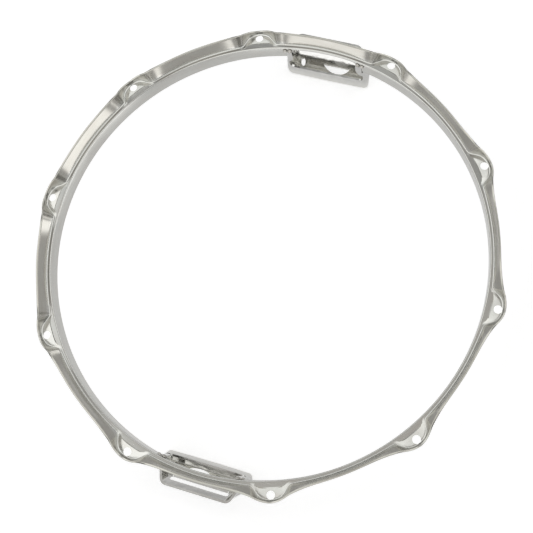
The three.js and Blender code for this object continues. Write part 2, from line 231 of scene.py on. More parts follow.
# the points of a closed outline whose corners are rounded
def roundedPath(corners):
    points = []
    for index, corner in enumerate(corners):
        here = corner["at"]
        if not corner["radius"]:
            points.append(here.copy())
            continue
        back = (corners[index - 1]["at"] - here).normalized()
        ahead = (corners[(index + 1) % len(corners)]["at"] - here).normalized()
        halfAngle = back.angle(ahead) / 2
        setback = corner["radius"] / math.tan(halfAngle)
        centre = here + (back + ahead).normalized() * corner["radius"] / math.sin(halfAngle)
        first = here + back * setback - centre
        last = here + ahead * setback - centre
        sweep = math.atan2(first.x * last.y - first.y * last.x, first.dot(last))
        for step in range(corner["steps"] + 1):
            turn = Matrix.Rotation(sweep * step / corner["steps"], 2)
            points.append(centre + turn @ first)
    return points


def addObject(name, data):
    made = bpy.data.objects.new(name, data)
    bpy.context.scene.collection.objects.link(made)
    return made


# a skin over loops of equally many points, in millimetres, that ends in two tips or in flat faces
def skinned(name, loops, joined=False, tips=()):
    mesh = bmesh.new()
    rows = [[mesh.verts.new(Vector(point) * mm) for point in loop] for loop in loops]
    count = len(rows[0])
    for index in range(len(rows) if joined else len(rows) - 1):
        low = rows[index]
        high = rows[(index + 1) % len(rows)]
        for side in range(count):
            after = (side + 1) % count
            mesh.faces.new((low[side], low[after], high[after], high[side]))
    for row, tip in zip((rows[0], rows[-1]), tips):
        point = mesh.verts.new(Vector(tip) * mm)
        for side in range(count):
            mesh.faces.new((row[side], row[(side + 1) % count], point))
    if not joined and not tips:
        mesh.faces.new(rows[0])
        mesh.faces.new(rows[-1])
    bmesh.ops.recalc_face_normals(mesh, faces=mesh.faces)
    data = bpy.data.meshes.new(name)
    mesh.to_mesh(data)
    mesh.free()
    return addObject(name, data)


def applyModifiers(piece):
    graph = bpy.context.evaluated_depsgraph_get()
    data = bpy.data.meshes.new_from_object(piece.evaluated_get(graph))
    piece.modifiers.clear()
    piece.data = data


def cutAway(piece, cutters):
    for cutter in cutters:
        modifier = piece.modifiers.new("cut", "BOOLEAN")
        modifier.operation = "DIFFERENCE"
        modifier.solver = "MANIFOLD"
        modifier.object = cutter
    applyModifiers(piece)
    for cutter in cutters:
        bpy.data.objects.remove(cutter)


# rounded cut edges, smooth faces and crisp creases
def finishSheet(piece, edge, creaseDegrees):
    mesh = bmesh.new()
    mesh.from_mesh(piece.data)
    distance = meshFinish["mergeDistance"] * mm
    bmesh.ops.remove_doubles(mesh, verts=mesh.verts, dist=distance)
    bmesh.ops.dissolve_degenerate(mesh, edges=mesh.edges, dist=distance)
    mesh.to_mesh(piece.data)
    mesh.free()
    bevel = piece.modifiers.new("edge", "BEVEL")
    bevel.limit_method = "ANGLE"
    bevel.angle_limit = math.radians(meshFinish["bevelDegrees"])
    bevel.width = edge * mm
    bevel.segments = meshFinish["bevelSegments"]
    bevel.use_clamp_overlap = True
    applyModifiers(piece)
    for face in piece.data.polygons:
        face.use_smooth = True
    piece.data.set_sharp_from_angle(angle=math.radians(creaseDegrees))
    weighted = piece.modifiers.new("weighted", "WEIGHTED_NORMAL")
    weighted.keep_sharp = True
    weighted.weight = meshFinish["normalWeight"]


# an outline in plan, standing between two drops
def planCutter(outline, upperDrop, lowerDrop):
    levels = (levelOf(lowerDrop), levelOf(upperDrop))
    return skinned("cutter", [[(p.x, p.y, level) for p in outline] for level in levels])


# an outline seen along the radius, where x runs along the rim and y is the level
def radialCutter(outline, innerRadius, outerRadius):
    return skinned("cutter", [[(reach, p.x, p.y) for p in outline] for reach in (innerRadius, outerRadius)])


# a round cutter on a vertical line, given as radius and level from its lower end to its upper
def turnedCutter(centre, profile, sides):
    turns = [2 * math.pi * side / sides for side in range(sides)]
    return skinned("cutter", [
        [(centre.x + r * math.cos(t), centre.y + r * math.sin(t), level) for t in turns]
        for r, level in profile
    ])


def roundedRectangle(halfWidth, low, high, radius):
    places = ((-halfWidth, low), (halfWidth, low), (halfWidth, high), (-halfWidth, high))
    return roundedPath([bend(x, y, radius, arcSteps["punch"]) for x, y in places])


# the sheet's section at a distance along the rod circle from the nearest rod hole
def ringSection(arc):
    reach = fade(arc, ear["reach"])
    lip = fade(arc, ear["lip"])
    floor = fade(arc, ear["floor"])
    seatOuter = ring["wallRadius"] + ring["seatWidth"]
    lipSheet = mix(ring["sheet"], ear["lipSheet"], floor)
    tipRadius = mix(seatOuter + ring["collarFlare"] + ring["sheet"], earTip, reach)
    tipRise = mix(ring["collarRise"], ear["lipRise"], lip)
    heel = mix(ring["collarHeel"], ear["heel"], floor)
    corner = mix(ring["seatCorner"], ear["corner"], floor)
    cornerRadius = mix(seatOuter, tipRadius - ear["lipSheet"], floor)
    floorLevel = seatLevel - ear["coinDepth"] * floor
    fall = ear["floorFall"] * floor
    coinNear = ring["seatEdge"] * ring["coinClearShare"]
    coinStart = ring["wallRadius"] + mix(coinNear, ear["coinOffset"], floor)
    coinEnd = coinStart + mix(ear["coinSlope"] / 2, ear["coinSlope"], floor)

    innerTip = Vector((tipRadius - lipSheet, seatLevel + tipRise))
    lean = (innerTip - Vector((cornerRadius, floorLevel - fall))).normalized()
    outerTip = innerTip + Vector((lean.y, -lean.x)) * lipSheet
    heelLevel = seatLevel - ring["sheet"]
    outerHeel = outerTip - lean * (outerTip.y - heelLevel + fall) / lean.y

    wall = ring["wallRadius"]
    sheet = ring["sheet"]
    rimLevel = levelOf(ring["wallDrop"])
    rimEdge = wall + ring["rimWidth"]
    returnLevel = rimLevel + ring["rimReturn"]
    tip = ring["stripEdge"]
    fine = arcSteps["strip"]
    return roundedPath([
        bend(innerTip.x, innerTip.y, tip, fine),
        bend(cornerRadius, floorLevel - fall, corner, arcSteps["corner"]),
        bend(coinEnd, floorLevel),
        bend(coinStart, seatLevel),
        bend(wall, seatLevel, ring["seatEdge"], fine),
        bend(wall, rimLevel, ring["rimRoll"], arcSteps["roll"]),
        bend(rimEdge, rimLevel, ring["rimEdge"], arcSteps["corner"]),
        bend(rimEdge, returnLevel, tip, fine),
        bend(rimEdge - sheet, returnLevel, tip, fine),
        bend(rimEdge - sheet, rimLevel + sheet, ring["insideBend"], fine),
        bend(wall + sheet, rimLevel + sheet, ring["rimRoll"] - sheet, arcSteps["corner"]),
        bend(wall + sheet, heelLevel, ring["insideBend"], fine),
        bend(outerHeel.x, outerHeel.y, heel, arcSteps["heel"]),
        bend(outerTip.x, outerTip.y, tip, fine),
    ])


def rodAngle(index):
    return halfPitch * (2 * index + 1)


def rodHoleCutter(index):
    angle = rodAngle(index)
    centre = Vector((rodCircle * math.cos(angle), rodCircle * math.sin(angle)))
    radius = ear["holeDiameter"] / 2
    edge = ear["holeEdge"]
    low = seatLevel - ring["sheet"]
    steps = arcSteps["rodHoleEdge"]
    lower = [(radius + edge, low - overrun / 2)]
    upper = [(radius + edge, seatLevel + overrun / 2)]
    for step in range(steps + 1):
        turn = math.pi / 2 * step / steps
        flare = radius + edge * (1 - math.sin(turn))
        lower.append((flare, low + edge * (1 - math.cos(turn))))
        upper.append((flare, seatLevel - edge * (1 - math.cos(turn))))
    return turnedCutter(centre, lower + upper[::-1], arcSteps["rodHole"])


def gateCutter(side):
    outline = roundedRectangle(
        gate["halfWidth"], levelOf(ring["wallDrop"] + gate["corner"] + overrun), levelOf(gate["floorDrop"]),
        gate["corner"],
    )
    wall = ring["wallRadius"]
    return radialCutter(outline, side * (wall - overrun), side * (wall + ring["rimWidth"] + overrun))


def makeRing():
    half = ring["stationsPerHalf"]
    loops = []
    for index in range(ring["rodHoles"]):
        for step in range(-half, half):
            share = math.copysign((abs(step) / half) ** ring["crowding"], step)
            angle = rodAngle(index) + halfPitch * share
            outline = ringSection(abs(share) * halfPitch * rodCircle)
            loops.append([(p.x * math.cos(angle), p.x * math.sin(angle), p.y) for p in outline])
    piece = skinned("hoopRing", loops, joined=True)
    cutters = [rodHoleCutter(index) for index in range(ring["rodHoles"])]
    cutAway(piece, cutters + [gateCutter(1), gateCutter(-1)])
    finishSheet(piece, ring["edge"], ring["creaseDegrees"])
    return piece


# how far a leaning wall stands out at a drop, with a bend into the crown
def bentWall(drop, wallAt, wallDrop, lean, crown, radius):
    stretch = math.hypot(1, lean)
    centreDrop = crown - radius
    centre = wallAt + lean * (centreDrop - wallDrop) - radius * stretch
    if drop <= centreDrop - radius * lean / stretch:
        return wallAt + lean * (drop - wallDrop)
    return centre + math.sqrt(max(0, radius ** 2 - (drop - centreDrop) ** 2))


# half-lengths of one guard end at a drop, by the wall and by the skirt
def endHalf(drop, end, inset):
    reach, radius = end
    half = footHalfLength + reach
    level = half - inset
    tuck = level - bentWall(drop, level, lipEdgeDrop, 0, guard["crownDrop"] - inset, radius - inset)
    full = mix(footHalfLength, half, smoothShare(drop, guard["footHoldDrop"], lipEdgeDrop))
    fullDrop = guard["crownDrop"] - guard["skirtFullHeight"]
    short = mix(gate["halfWidth"], full, smoothShare(drop, guard["skirtShortDrop"], fullDrop))
    return full - inset - tuck, short - inset - tuck


# the guard's plan outline at a drop. An inset gives the inner face of its sheet
def guardOutline(drop, inset):
    wall = ring["wallRadius"]
    crown = guard["crownDrop"] - inset
    skirtTravel = guard["crownDrop"] - guard["skirtTopHeight"] - guard["skirtEdgeDrop"]
    skirtLean = (guard["skirtTopOffset"] - guard["skirtEdgeOffset"]) / skirtTravel
    skirtFace = wall + guard["skirtEdgeOffset"] - inset * math.hypot(1, skirtLean)
    back = bentWall(drop, skirtFace, guard["skirtEdgeDrop"], skirtLean, crown, guard["shoulder"] - inset)
    lipTravel = guard["lipHeight"] - guard["lipCrownHeight"]
    lipLean = (guard["lipCrownInset"] - guard["lipEdgeInset"]) / lipTravel
    lipFace = -wall + guard["lipEdgeInset"] - inset * math.hypot(1, lipLean)
    lip = -bentWall(max(drop, lipEdgeDrop), lipFace, lipEdgeDrop, lipLean, crown, guard["lipBend"] - inset)
    slotFront, slotBack = endHalf(drop, guard["slotEnd"], inset)
    holeFront, holeBack = endHalf(drop, guard["holeEnd"], inset)

    footShare = 1 - smoothShare(drop, guard["footHoldDrop"], lipEdgeDrop)
    footFace = wall - guard["weldGap"] - guard["sheet"] + inset
    slotHalf = footHalfLength + guard["slotEnd"][0]

    def along(half, radius=0, steps=1):
        bowed = lip + guard["lipBow"] * (half / slotHalf) ** 2
        return bend(mix(bowed, math.sqrt(footFace ** 2 - half ** 2), footShare), half, radius, steps)

    front = min(guard["frontCorner"] - inset, guard["frontCornerShare"] * (back - lip))
    rear = min(guard["backCorner"] - inset, guard["backCornerShare"] * (back - lip))
    inner = [index / guard["frontParts"] for index in range(1, guard["frontParts"] - 1)]
    outer = [index / guard["backParts"] for index in range(2, guard["backParts"] - 1)]
    frontSteps = arcSteps["guardFront"]
    backSteps = arcSteps["guardBack"]
    return roundedPath(
        [bend(back, -slotBack, rear, backSteps)]
        + [bend(back, mix(-slotBack, holeBack, share)) for share in outer]
        + [bend(back, holeBack, rear, backSteps), along(holeFront, front, frontSteps)]
        + [along(holeFront * share) for share in reversed(inner)] + [along(0)]
        + [along(-slotFront * share) for share in inner] + [along(-slotFront, front, frontSteps)]
    )


def guardBody(edgeDrop, inset):
    crown = guard["crownDrop"] - inset
    radius = guard["holeEnd"][1] - inset
    steps = arcSteps["guardCrown"]
    fullDrop = guard["crownDrop"] - guard["skirtFullHeight"]
    drops = [edgeDrop, fullDrop]
    drops += [crown - radius * (1 - math.cos(math.pi / 2 * step / steps)) for step in range(steps + 1)]
    drops += spread(fullDrop, lipEdgeDrop, guard["lowParts"])
    drops += spread(lipEdgeDrop, guard["footHoldDrop"], guard["sideParts"])
    drops += spread(guard["footHoldDrop"], guard["skirtShortDrop"], guard["footParts"])
    drops.sort(reverse=True)
    return skinned("guard", [
        [(p.x, p.y, levelOf(drop)) for p in guardOutline(drop, inset)] for drop in drops
    ])


# room for the ring under each end wall of the guard, in plan
def rimNotch(side):
    outer = ring["wallRadius"] + ring["rimWidth"] + guard["rimGap"]
    face = ring["wallRadius"] - guard["weldGap"]
    inside = face + guard["weldGap"] / 2
    endInner = footHalfLength - guard["sheet"]
    footEnd = math.sqrt(face ** 2 - footHalfLength ** 2)
    low = gate["halfWidth"] - overrun
    high = footHalfLength + guard["slotEnd"][0] + overrun
    steps = arcSteps["punch"]

    def onCircle(radius, start, end):
        halves = [mix(start, end, step / steps) for step in range(steps + 1)]
        return [Vector((math.sqrt(radius ** 2 - half ** 2), side * half)) for half in halves]

    corner = [Vector((footEnd, side * high)), Vector((footEnd, side * endInner))]
    return corner + onCircle(inside, endInner - guard["frontCorner"] / 2, low) + onCircle(outer, low, high)


def curvePoints(start, control, end):
    points = []
    for step in range(arcSteps["curve"] + 1):
        share = step / arcSteps["curve"]
        points.append(start.lerp(control, share).lerp(control.lerp(end, share), share))
    return points


# the open front of the guard, seen along the radius. Its sides widen below the feet
def windowOutline():
    half = gate["halfWidth"]
    top = levelOf(guard["footEdgeDrop"] - overrun)
    hold = levelOf(guard["windowHoldDrop"])
    low = levelOf(lipEdgeDrop)
    slotSide = -(footHalfLength + guard["slotEnd"][0] - guard["windowSideMargin"])
    holeSide = footHalfLength + guard["holeEnd"][0] - guard["windowSideMargin"]
    corner = guard["windowCorner"]
    turn = low + 2 * corner
    middle = mix(hold, turn, 1 / 2)
    slotCurve = curvePoints(Vector((-half, hold)), Vector((-half, middle)), Vector((slotSide, turn)))
    holeCurve = curvePoints(Vector((holeSide, turn)), Vector((half, middle)), Vector((half, hold)))
    return roundedPath(
        [bend(half, top), bend(-half, top)] + [bend(p.x, p.y) for p in slotCurve]
        + [bend(side, low, corner, arcSteps["punch"]) for side in (slotSide, holeSide)]
        + [bend(p.x, p.y) for p in holeCurve]
    )


# a bow-shaped slot in plan: straight outside and bulging toward the crown
def bowOutline():
    inner = ring["wallRadius"] + punches["bowOffset"]
    outer = inner + punches["bowWidth"]
    tip = punches["bowTip"]
    end = -punches["bowEnd"]
    middle = (tip + end) / 2
    full = punches["bowFullness"]
    waist = Vector((inner, middle))
    first = curvePoints(Vector((outer, tip)), Vector((inner, mix(tip, middle, full))), waist)
    last = curvePoints(waist, Vector((inner, mix(end, middle, full))), Vector((outer, end)))
    return first + last[1:]


def makeGuard(name, turn):
    piece = guardBody(guard["footEdgeDrop"], 0)
    piece.name = name
    wall = ring["wallRadius"]
    crown = guard["crownDrop"]
    cutters = [guardBody(guard["footEdgeDrop"] - overrun, guard["sheet"])]
    rimTop = ring["wallDrop"] + guard["rimGap"]
    for side in (-1, 1):
        cutters.append(planCutter(rimNotch(side), guard["footEdgeDrop"] - overrun, rimTop))
    reach = footHalfLength + guard["slotEnd"][0] + overrun
    skirtTrim = [Vector((x, y)) for x, y in (
        (wall + guard["rimGap"], -reach), (wall + guard["skirtEdgeOffset"] + overrun, -reach),
        (wall + guard["skirtEdgeOffset"] + overrun, reach), (wall + guard["rimGap"], reach),
    )]
    cutters.append(planCutter(skirtTrim, guard["footEdgeDrop"] - overrun, guard["skirtEdgeDrop"]))
    windowStart = wall - guard["lipCrownInset"] - overrun
    cutters.append(radialCutter(windowOutline(), windowStart, wall + guard["sheet"]))
    strapTop = levelOf(guard["skirtEdgeDrop"] + punches["strapSill"])
    strap = roundedRectangle(
        gate["halfWidth"] - punches["strapInset"], strapTop - punches["strapWidth"], strapTop,
        punches["strapCorner"],
    )
    cutters.append(radialCutter(
        strap, wall + guard["skirtTopOffset"] + guard["sheet"], wall + guard["skirtEdgeOffset"] + overrun,
    ))
    cutters.append(planCutter(bowOutline(), crown - punches["height"], crown + overrun))
    holeCentre = Vector((wall + punches["holeOffset"], punches["holeSide"]))
    holeRadius = punches["holeDiameter"] / 2
    holeEnds = [(holeRadius, levelOf(drop)) for drop in (crown + overrun, crown - punches["height"])]
    cutters.append(turnedCutter(holeCentre, holeEnds, arcSteps["smallHole"]))
    cutAway(piece, cutters)
    piece.data.transform(Matrix.Rotation(turn, 4, "Z"))
    finishSheet(piece, guard["edge"], guard["creaseDegrees"])
    return piece


# a bead in the corner between the wall and the edge of a foot, with the ripples of its pools
def makeBead(name, half, turn):
    face = ring["wallRadius"] - guard["weldGap"] / 2 - bead["seatGap"]
    reach = math.asin(half / face)
    low = levelOf(guard["footEdgeDrop"]) + bead["seatGap"]
    end = bead["length"] / 2
    loops = []
    for station in range(1, bead["stations"]):
        along = -math.cos(math.pi * station / bead["stations"])
        size = math.sqrt(1 - along ** 2)
        loop = [(0, along * end, 0)]
        for step in range(bead["arcParts"] + 1):
            angle = math.pi / 2 * step / bead["arcParts"]
            inward = size * math.cos(angle)
            upward = size * math.sin(angle)
            wave = 1 + math.cos(bead["ripples"] * math.pi * (along + upward))
            swell = 1 - bead["rippleShare"] * wave / 2
            loop.append((-inward * bead["depth"] * swell, along * end, upward * bead["rise"] * swell))
        loops.append(loop)
    tips = [(0, -end, 0), (0, end, 0)]
    piece = skinned(name, loops, tips=tips)
    place = Matrix.Translation(Vector((face * math.cos(reach), half, low)) * mm)
    piece.data.transform(Matrix.Rotation(turn, 4, "Z") @ place @ Matrix.Rotation(reach, 4, "Z"))
    for polygon in piece.data.polygons:
        polygon.use_smooth = True
    return piece


# shader node groups

def addNode(tree, kind, settings=None, **inputs):
    made = tree.nodes.new(kind)
    for key, value in (settings or {}).items():
        setattr(made, key, value)
    for key, value in inputs.items():
        made.inputs[key].default_value = value
    return made


def maths(tree, operation, first, second=None):
    made = addNode(tree, "ShaderNodeMath", {"operation": operation})
    for index, value in enumerate((first, second)):
        if value is None:
            continue
        if isinstance(value, (int, float)):
            made.inputs[index].default_value = value
        else:
            tree.links.new(value, made.inputs[index])
    return made.outputs[0]


# a share that grows from one end to the other while a value crosses a band
def makeShare(tree, value, band, ends=(0, 1), curve="LINEAR"):
    share = addNode(tree, "ShaderNodeMapRange", {"interpolation_type": curve})
    share.inputs["From Min"].default_value, share.inputs["From Max"].default_value = band
    share.inputs["To Min"].default_value, share.inputs["To Max"].default_value = ends
    tree.links.new(value, share.inputs["Value"])
    return share.outputs[0]


def newGroup(name, inputs, outputs):
    group = bpy.data.node_groups.new(name, "ShaderNodeTree")
    for label, value in inputs.items():
        socket = group.interface.new_socket(label, in_out="INPUT", socket_type="NodeSocketFloat")
        socket.default_value = value
    for label in outputs:
        group.interface.new_socket(label, in_out="OUTPUT", socket_type="NodeSocketFloat")
    entry = addNode(group, "NodeGroupInput")
    leave = addNode(group, "NodeGroupOutput")
    return group, entry.outputs, leave.inputs


grainLook = {
    "streakShare": 0.14,  # the streaks are this much coarser than the lines
    "detail": 3.0,
    "roughness": 0.6,
}


# fine lines that run round the hoop, as rolling and polishing leave them
def rolledGrainGroup():
    group, given, out = newGroup("rolledGrain", {"Along": 60, "Across": 2600}, ["Lines", "Streaks"])
    place = addNode(group, "ShaderNodeTexCoord")
    split = addNode(group, "ShaderNodeSeparateXYZ")
    group.links.new(place.outputs["Object"], split.inputs[0])
    x, y, z = split.outputs
    squares = maths(group, "ADD", maths(group, "MULTIPLY", x, x), maths(group, "MULTIPLY", y, y))
    across = maths(group, "ADD", maths(group, "SQRT", squares), z)
    for label, coarse in (("Lines", 1.0), ("Streaks", grainLook["streakShare"])):
        vector = addNode(group, "ShaderNodeCombineXYZ")
        group.links.new(maths(group, "MULTIPLY", x, given["Along"]), vector.inputs[0])
        group.links.new(maths(group, "MULTIPLY", y, given["Along"]), vector.inputs[1])
        scale = maths(group, "MULTIPLY", given["Across"], coarse)
        group.links.new(maths(group, "MULTIPLY", across, scale), vector.inputs[2])
        noise = addNode(group, "ShaderNodeTexNoise", Scale=1.0)
        noise.inputs["Detail"].default_value = grainLook["detail"]
        noise.inputs["Roughness"].default_value = grainLook["roughness"]
        group.links.new(vector.outputs[0], noise.inputs["Vector"])
        group.links.new(noise.outputs["Fac"], out[label])
    return group


rippleRoughness = 0.45


# slow waves of a pressed and polished sheet
def sheetRippleGroup():
    group, given, out = newGroup("sheetRipple", {"Scale": 40, "Detail": 2}, ["Height"])
    place = addNode(group, "ShaderNodeTexCoord")
    noise = addNode(group, "ShaderNodeTexNoise", Roughness=rippleRoughness)
    group.links.new(place.outputs["Object"], noise.inputs["Vector"])
    group.links.new(given["Scale"], noise.inputs["Scale"])
    group.links.new(given["Detail"], noise.inputs["Detail"])
    group.links.new(noise.outputs["Fac"], out["Height"])
    return group


handlingLook = {
    "smudgeDetail": 4.0,
    "smudgeRoughness": 0.55,
    "scratchTurn": (0.4, 0.9, 0.7),
    "scratchScale": (1500, 60, 900),
    "scratchBand": (0.66, 0.74),
    "speckScale": 420.0,
    "speckBand": (0.10, 0.04),
}


# smudges, dust and hairline scratches from handling
def handlingGroup():
    outputs = ["Smudge", "Scratch", "Speck"]
    group, given, out = newGroup("handling", {"Scale": 30, "Scratches": 0.5}, outputs)
    place = addNode(group, "ShaderNodeTexCoord")
    coords = place.outputs["Object"]
    smudge = addNode(group, "ShaderNodeTexNoise")
    smudge.inputs["Detail"].default_value = handlingLook["smudgeDetail"]
    smudge.inputs["Roughness"].default_value = handlingLook["smudgeRoughness"]
    group.links.new(coords, smudge.inputs["Vector"])
    group.links.new(given["Scale"], smudge.inputs["Scale"])
    group.links.new(smudge.outputs["Fac"], out["Smudge"])
    mapping = addNode(group, "ShaderNodeMapping")
    mapping.inputs["Rotation"].default_value = handlingLook["scratchTurn"]
    mapping.inputs["Scale"].default_value = handlingLook["scratchScale"]
    group.links.new(coords, mapping.inputs["Vector"])
    hair = addNode(group, "ShaderNodeTexNoise", Scale=1.0, Detail=1.0)
    group.links.new(mapping.outputs[0], hair.inputs["Vector"])
    sharp = makeShare(group, hair.outputs["Fac"], handlingLook["scratchBand"])
    group.links.new(maths(group, "MULTIPLY", sharp, given["Scratches"]), out["Scratch"])
    dots = addNode(group, "ShaderNodeTexVoronoi", {"feature": "F1"}, Scale=handlingLook["speckScale"])
    group.links.new(coords, dots.inputs["Vector"])
    group.links.new(makeShare(group, dots.outputs["Distance"], handlingLook["speckBand"]), out["Speck"])
    return group


# a share that grows between two heights
def heightBandGroup():
    group, given, out = newGroup("heightBand", {"Start": 0.0, "End": 0.01}, ["Share"])
    place = addNode(group, "ShaderNodeTexCoord")
    split = addNode(group, "ShaderNodeSeparateXYZ")
    group.links.new(place.outputs["Object"], split.inputs[0])
    share = addNode(group, "ShaderNodeMapRange")
    group.links.new(given["Start"], share.inputs["From Min"])
    group.links.new(given["End"], share.inputs["From Max"])
    group.links.new(split.outputs[2], share.inputs["Value"])
    group.links.new(share.outputs[0], out["Share"])
    return group


def makeChrome(name, groups, finish):
    material = bpy.data.materials.new(name)
    material.use_nodes = True
    tree = material.node_tree
    tree.nodes.clear()
    output = addNode(tree, "ShaderNodeOutputMaterial")
    shader = addNode(tree, "ShaderNodeBsdfPrincipled", Metallic=1.0)
    tree.links.new(shader.outputs[0], output.inputs["Surface"])

    grain = addNode(tree, "ShaderNodeGroup", {"node_tree": groups["grain"]})
    grain.inputs["Along"].default_value = finish["along"]
    grain.inputs["Across"].default_value = finish["across"]
    ripple = addNode(tree, "ShaderNodeGroup", {"node_tree": groups["ripple"]})
    ripple.inputs["Scale"].default_value = finish["rippleScale"]
    handling = addNode(tree, "ShaderNodeGroup", {"node_tree": groups["handling"]})
    handling.inputs["Scale"].default_value = finish["smudgeScale"]
    handling.inputs["Scratches"].default_value = finish["scratches"]

    tone = addNode(tree, "ShaderNodeMix", {"data_type": "RGBA"})
    tone.inputs["A"].default_value = (*finish["deepTone"], 1)
    tone.inputs["B"].default_value = (*finish["paleTone"], 1)
    tree.links.new(grain.outputs["Streaks"], tone.inputs["Factor"])
    band = addNode(tree, "ShaderNodeGroup", {"node_tree": groups["band"]})
    band.inputs["Start"].default_value, band.inputs["End"].default_value = finish["band"]
    banded = addNode(tree, "ShaderNodeMix", {"data_type": "RGBA", "blend_type": "MULTIPLY"})
    banded.inputs["B"].default_value = (*finish["bandTone"], 1)
    tree.links.new(band.outputs["Share"], banded.inputs["Factor"])
    tree.links.new(tone.outputs["Result"], banded.inputs["A"])
    specked = addNode(tree, "ShaderNodeMix", {"data_type": "RGBA"})
    specked.inputs["B"].default_value = (*finish["dustTone"], 1)
    dusty = maths(tree, "MULTIPLY", handling.outputs["Speck"], finish["dust"])
    tree.links.new(dusty, specked.inputs["Factor"])
    tree.links.new(banded.outputs["Result"], specked.inputs["A"])
    tree.links.new(specked.outputs["Result"], shader.inputs["Base Color"])

    rough = makeShare(tree, handling.outputs["Smudge"], finish["smudgeBand"], finish["rough"])
    byLines = maths(tree, "MULTIPLY", grain.outputs["Lines"], finish["lineRough"])
    byScratches = maths(tree, "MULTIPLY", handling.outputs["Scratch"], finish["scratchRough"])
    lined = maths(tree, "ADD", rough, byLines)
    tree.links.new(maths(tree, "ADD", lined, byScratches), shader.inputs["Roughness"])

    lines = maths(tree, "MULTIPLY", grain.outputs["Lines"], finish["lineDepth"])
    waves = maths(tree, "MULTIPLY", ripple.outputs["Height"], finish["rippleDepth"])
    marks = maths(tree, "MULTIPLY", handling.outputs["Scratch"], -finish["scratchDepth"])
    bump = addNode(tree, "ShaderNodeBump", Strength=1.0, Distance=mm)
    tree.links.new(maths(tree, "ADD", maths(tree, "ADD", lines, waves), marks), bump.inputs["Height"])
    tree.links.new(bump.outputs[0], shader.inputs["Normal"])
    return material


# across the band, heights in metres, the tones are multiplied by bandTone. On the guards the band is
# painted light: it brightens their lower part near the crown, a painted reflection of a bright floor
finishes = {
    "ringChrome": {
        "deepTone": (0.51, 0.485, 0.455), "paleTone": (0.58, 0.595, 0.575),
        "dustTone": (0.40, 0.38, 0.35),
        "band": (0.0418, 0.0445), "bandTone": (0.78, 0.765, 0.735),
        "along": 60, "across": 2400, "rippleScale": 34, "rippleDepth": 0.34, "lineDepth": 0.002,
        "smudgeScale": 34, "scratches": 0.6, "scratchDepth": 0.002, "dust": 0.35,
        "smudgeBand": (0.3, 0.7), "rough": (0.10, 0.20), "lineRough": 0.08, "scratchRough": 0.12,
    },
    "guardChrome": {
        "deepTone": (0.52, 0.515, 0.50), "paleTone": (0.62, 0.615, 0.60),
        "dustTone": (0.38, 0.37, 0.34),
        # painted reflection: the guard's lower part, below about 12 mm, is brightened 1.45 times
        "band": (0.012, 0.001), "bandTone": (1.45, 1.45, 1.43),
        "along": 240, "across": 900, "rippleScale": 150, "rippleDepth": 0.22, "lineDepth": 0.001,
        "smudgeScale": 60, "scratches": 0.5, "scratchDepth": 0.002, "dust": 0.35,
        "smudgeBand": (0.3, 0.7), "rough": (0.06, 0.14), "lineRough": 0.05, "scratchRough": 0.12,
    },
    "weldChrome": {
        "deepTone": (0.42, 0.40, 0.36), "paleTone": (0.55, 0.53, 0.50),
        "dustTone": (0.30, 0.27, 0.23),
        "band": (0.036, 0.040), "bandTone": (0.95, 0.95, 0.95),
        "along": 700, "across": 900, "rippleScale": 500, "rippleDepth": 0.05, "lineDepth": 0.002,
        "smudgeScale": 220, "scratches": 0.2, "scratchDepth": 0.001, "dust": 0.6,
        "smudgeBand": (0.3, 0.7), "rough": (0.24, 0.40), "lineRough": 0.08, "scratchRough": 0.05,
    },
}

groups = {
    "grain": rolledGrainGroup(), "ripple": sheetRippleGroup(), "handling": handlingGroup(),
    "band": heightBandGroup(),
}
chromes = {name: makeChrome(name, groups, finish) for name, finish in finishes.items()}
print("materials made:", ", ".join(chromes))


def dress(piece, material, slot, *nodes):
    piece.data.materials.clear()
    piece.data.materials.append(chromes[material])
    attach(piece, "root")
    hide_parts(*nodes)


hoopRing = makeRing()
dress(hoopRing, "ringChrome", "ring_chrome", "hoop_ring")
print("ring made:", len(hoopRing.data.polygons), "faces")

footMiddle = (gate["halfWidth"] + footHalfLength) / 2
for letter, turn in (("a", 0), ("b", math.pi)):
    snareGuard = makeGuard("snareGuard" + letter.upper(), turn)
    dress(snareGuard, "guardChrome", "guard_chrome", "snare_guard_" + letter)
    print("guard made:", len(snareGuard.data.polygons), "faces")
    for sideName, side in (("left", 1), ("right", -1)):
        for count in range(bead["perFoot"]):
            half = side * footMiddle + bead["pitch"] * (count - (bead["perFoot"] - 1) / 2)
            label = f"{letter}_{sideName}_{count + 1}"
            weld = makeBead("weldBead_" + label, half, turn)
            dress(weld, "weldChrome", "weld_chrome", "weld_" + label)
print("welds made")

# floor, world and lamps

